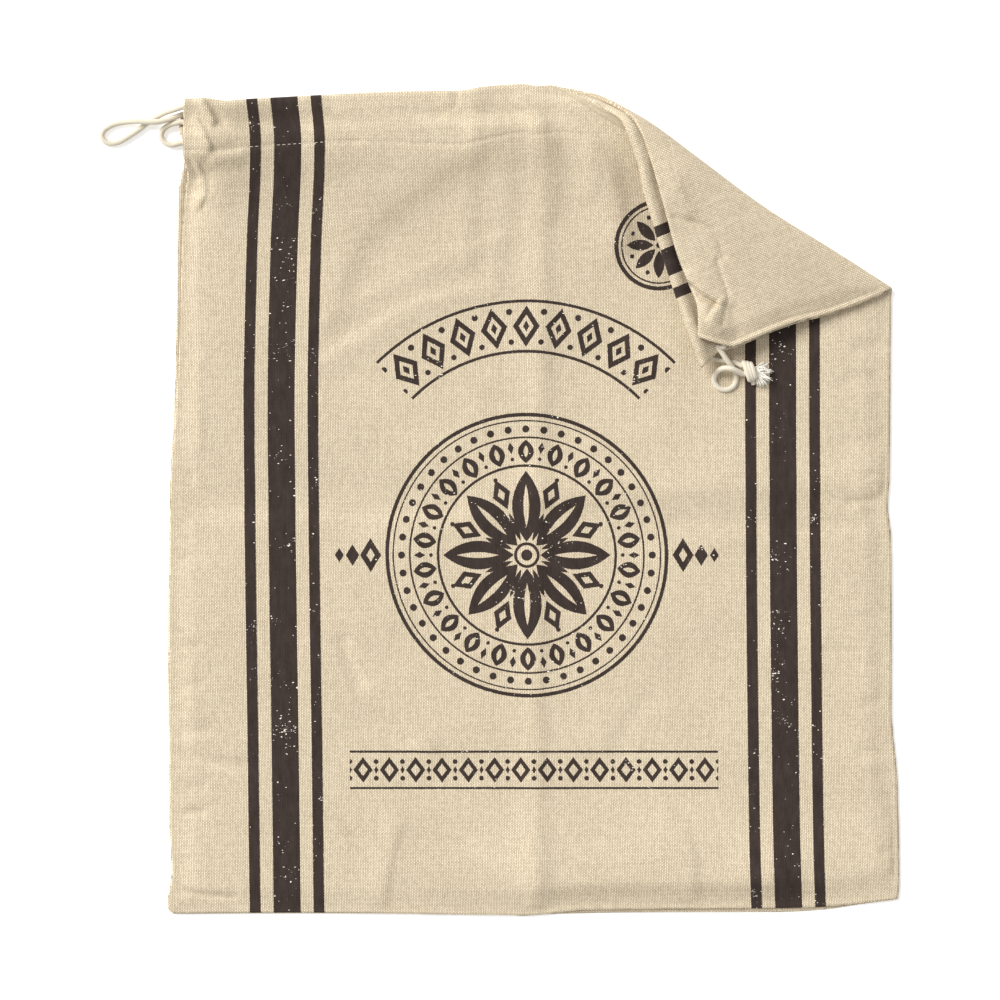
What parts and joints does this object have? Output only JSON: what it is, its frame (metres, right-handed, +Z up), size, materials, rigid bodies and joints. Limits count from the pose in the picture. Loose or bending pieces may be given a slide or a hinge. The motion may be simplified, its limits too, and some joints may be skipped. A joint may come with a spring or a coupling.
{
  "type": "drawstring bread bag",
  "caption": "Flat cloth drawstring bag for bread, lying on its back with one corner of its mouth folded over and its cord knotted.",
  "frame": {"origin": "on the surface that the bag lies on, under the middle of its two panels", "axes": "+Y towards the bag's mouth, +Z up, out of the printed front"},
  "size_m": [0.4226, 0.44, 0.0204],
  "materials": {
    "back_panel": "coarse undyed linen and cotton weave",
    "front_panel": "coarse undyed weave printed in one dark brown ink",
    "drawstring": "braided cotton cord",
    "knot": "knotted cotton cord with frayed ends"
  },
  "bodies": {
    "root": {"back_panel": "back_panel", "front_panel": "front_panel", "drawstring": "drawstring", "knot": "knot"}
  },
  "joints": []
}
